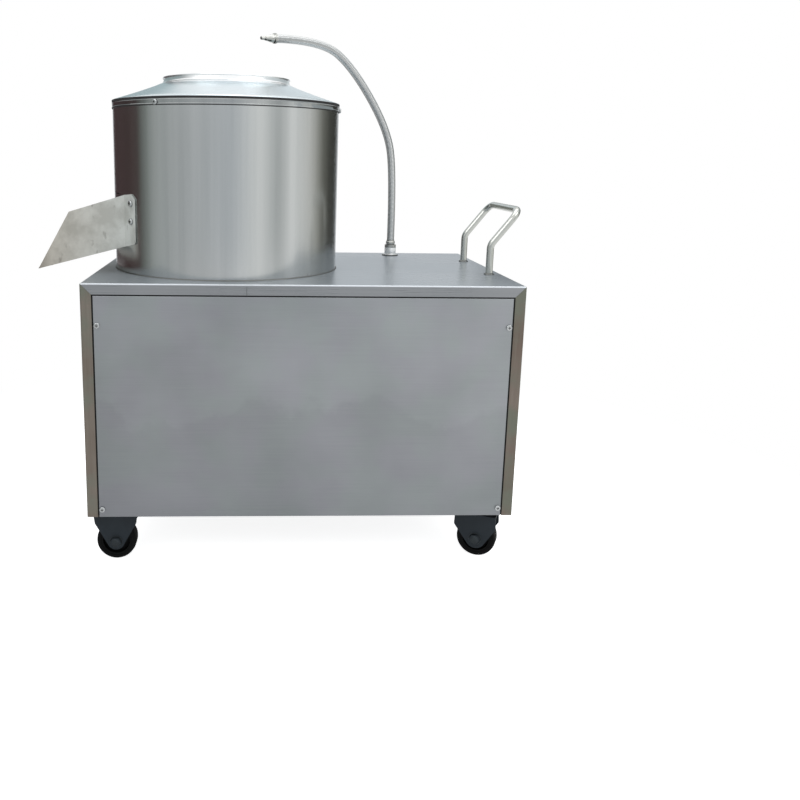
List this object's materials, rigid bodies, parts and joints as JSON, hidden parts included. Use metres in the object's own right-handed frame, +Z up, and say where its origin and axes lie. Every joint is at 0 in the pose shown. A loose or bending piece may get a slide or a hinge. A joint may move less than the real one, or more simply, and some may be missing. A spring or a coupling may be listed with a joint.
{
  "type": "electric potato peeler",
  "caption": "Steel potato peeler on casters: round drum with turntable and conical feed cover, side chute, spray hose, push handle and belt-drive cabinet.",
  "frame": {"origin": "on the floor below the middle of the cabinet", "axes": "+X to the push handle, -X to the chute, -Y to the front panel, +Z up"},
  "size_m": [0.9791, 0.6014, 1.0108],
  "materials": {
    "skin_steel": "brushed stainless sheet",
    "post_steel": "brushed stainless sheet, folded",
    "drum_steel": "brushed stainless, rolled",
    "cover_steel": "polished stainless, spun",
    "chute_steel": "mill-finish stainless sheet",
    "frame_steel": "painted angle steel",
    "bright_tube": "polished stainless rod and tube",
    "bright_screw": "bright stainless fasteners",
    "grit": "abrasive grit in resin",
    "seal_rubber": "moulded rubber",
    "cast_table": "cast aluminium, grit-coated",
    "turned_steel": "turned steel",
    "cast_iron": "cast iron, as cast",
    "belt_rubber": "fabric-backed rubber",
    "motor_paint": "painted cast housing",
    "pipe_steel": "stainless tube",
    "valve_brass": "nickel-plated brass",
    "lever_grip": "steel lever in a vinyl grip",
    "box_plastic": "moulded ABS",
    "green_plastic": "moulded plastic",
    "red_plastic": "moulded plastic",
    "black_plastic": "moulded nylon",
    "caster_paint": "painted pressed steel",
    "wheel_rubber": "rubber tyre on a moulded core"
  },
  "bodies": {
    "root": {"abrasive_liner": "grit", "ball_valve": "valve_brass", "bearing_housing": "cast_iron", "cable_gland": "black_plastic", "caster_bolts": "bright_screw", "chute_bolts": "bright_screw", "discharge_chute": "chute_steel", "drain_pipe": "pipe_steel", "drive_belts": "belt_rubber", "drive_bolts": "bright_screw", "drum_floor": "drum_steel", "drum_shell": "drum_steel", "feed_cover": "cover_steel", "feed_cover_screws": "bright_screw", "fixed_caster_brackets": "caster_paint", "frame": "frame_steel", "front_panel": "skin_steel", "hose_socket": "bright_tube", "left_panel": "skin_steel", "motor_body": "motor_paint", "motor_bracket": "frame_steel", "motor_fan_cover": "motor_paint", "panel_screws": "bright_screw", "post_front_left": "post_steel", "post_front_right": "post_steel", "post_rear_left": "post_steel", "post_rear_right": "post_steel", "push_handle": "bright_tube", "rear_panel": "skin_steel", "right_panel": "skin_steel", "shaft_bearings": "turned_steel", "shaft_seal": "seal_rubber", "switch_box": "box_plastic", "swivel_caster_heads": "caster_paint", "top_plate": "skin_steel", "water_pipe": "pipe_steel"},
    "turntable_drive": {"turntable": "cast_table", "turntable_cap": "turned_steel", "main_shaft": "turned_steel", "drive_pulley": "cast_iron"},
    "motor_rotor": {"motor_shaft": "turned_steel", "motor_pulley": "cast_iron"},
    "door": {"discharge_door": "drum_steel", "door_pad": "grit", "door_seal": "seal_rubber", "door_hinge_straps": "chute_steel", "hinge_pin": "turned_steel"},
    "latch": {"latch_lever": "bright_screw"},
    "hose": {"spray_hose": "bright_tube", "spray_nozzle": "bright_tube"},
    "valve_handle": {"valve_lever": "lever_grip"},
    "start": {"start_button": "green_plastic"},
    "stop": {"stop_button": "red_plastic"},
    "swivel_front": {"swivel_fork_front": "caster_paint"},
    "swivel_rear": {"swivel_fork_rear": "caster_paint"},
    "roller_front_left": {"wheel_front_left": "wheel_rubber"},
    "roller_rear_left": {"wheel_rear_left": "wheel_rubber"},
    "roller_front_right": {"wheel_front_right": "wheel_rubber"},
    "roller_rear_right": {"wheel_rear_right": "wheel_rubber"}
  },
  "joints": [
    {"name": "turntable_spin", "type": "hinge", "parent": "root", "child": "turntable_drive", "pos_m": [-0.15, 0, 0.596], "axis": [0, 0, 1], "continuous": true},
    {"name": "motor_spin", "type": "hinge", "parent": "root", "child": "motor_rotor", "pos_m": [0.2, 0, 0.3675], "axis": [0, 0, 1], "continuous": true},
    {"name": "door_hinge", "type": "hinge", "parent": "root", "child": "door", "pos_m": [-0.35192, 0.11424, 0.643], "axis": [0, 0, -1], "range_deg": [0, 65]},
    {"name": "latch_turn", "type": "hinge", "parent": "door", "child": "latch", "pos_m": [-0.36143, -0.07695, 0.643], "axis": [-0.9397, -0.342, 0], "range_deg": [0, 90]},
    {"name": "hose_swing", "type": "hinge", "parent": "root", "child": "hose", "pos_m": [0.225, 0.214, 0.5625], "axis": [0, 0, 1], "range_deg": [-100, 60]},
    {"name": "valve_turn", "type": "hinge", "parent": "root", "child": "valve_handle", "pos_m": [0.225, 0.291, 0.4975], "axis": [0, 0, -1], "range_deg": [0, 90]},
    {"name": "start_press", "type": "slide", "parent": "root", "child": "start", "axis": [-1, 0, 0], "range_m": [0, 0.004], "stiffness_N_per_m": 500, "springref_m": -0.002},
    {"name": "stop_press", "type": "slide", "parent": "root", "child": "stop", "axis": [-1, 0, 0], "range_m": [0, 0.004], "stiffness_N_per_m": 500, "springref_m": -0.002},
    {"name": "swivel_front_turn", "type": "hinge", "parent": "root", "child": "swivel_front", "pos_m": [0.334, -0.21, 0.09], "axis": [0, 0, 1], "continuous": true},
    {"name": "swivel_rear_turn", "type": "hinge", "parent": "root", "child": "swivel_rear", "pos_m": [0.334, 0.21, 0.09], "axis": [0, 0, 1], "continuous": true},
    {"name": "wheel_front_left_roll", "type": "hinge", "parent": "root", "child": "roller_front_left", "pos_m": [-0.352, -0.218, 0.0375], "axis": [0, 1, 0], "continuous": true},
    {"name": "wheel_rear_left_roll", "type": "hinge", "parent": "root", "child": "roller_rear_left", "pos_m": [-0.352, 0.218, 0.0375], "axis": [0, 1, 0], "continuous": true},
    {"name": "wheel_front_right_roll", "type": "hinge", "parent": "swivel_front", "child": "roller_front_right", "pos_m": [0.34759, -0.21634, 0.0375], "axis": [0.4226, 0.9063, 0], "continuous": true},
    {"name": "wheel_rear_right_roll", "type": "hinge", "parent": "swivel_rear", "child": "roller_rear_right", "pos_m": [0.34759, 0.20366, 0.0375], "axis": [0.4226, 0.9063, 0], "continuous": true}
  ],
  "couplings": [
    {"joint": "motor_spin", "follows": "turntable_spin", "ratio": 3.8169}
  ]
}
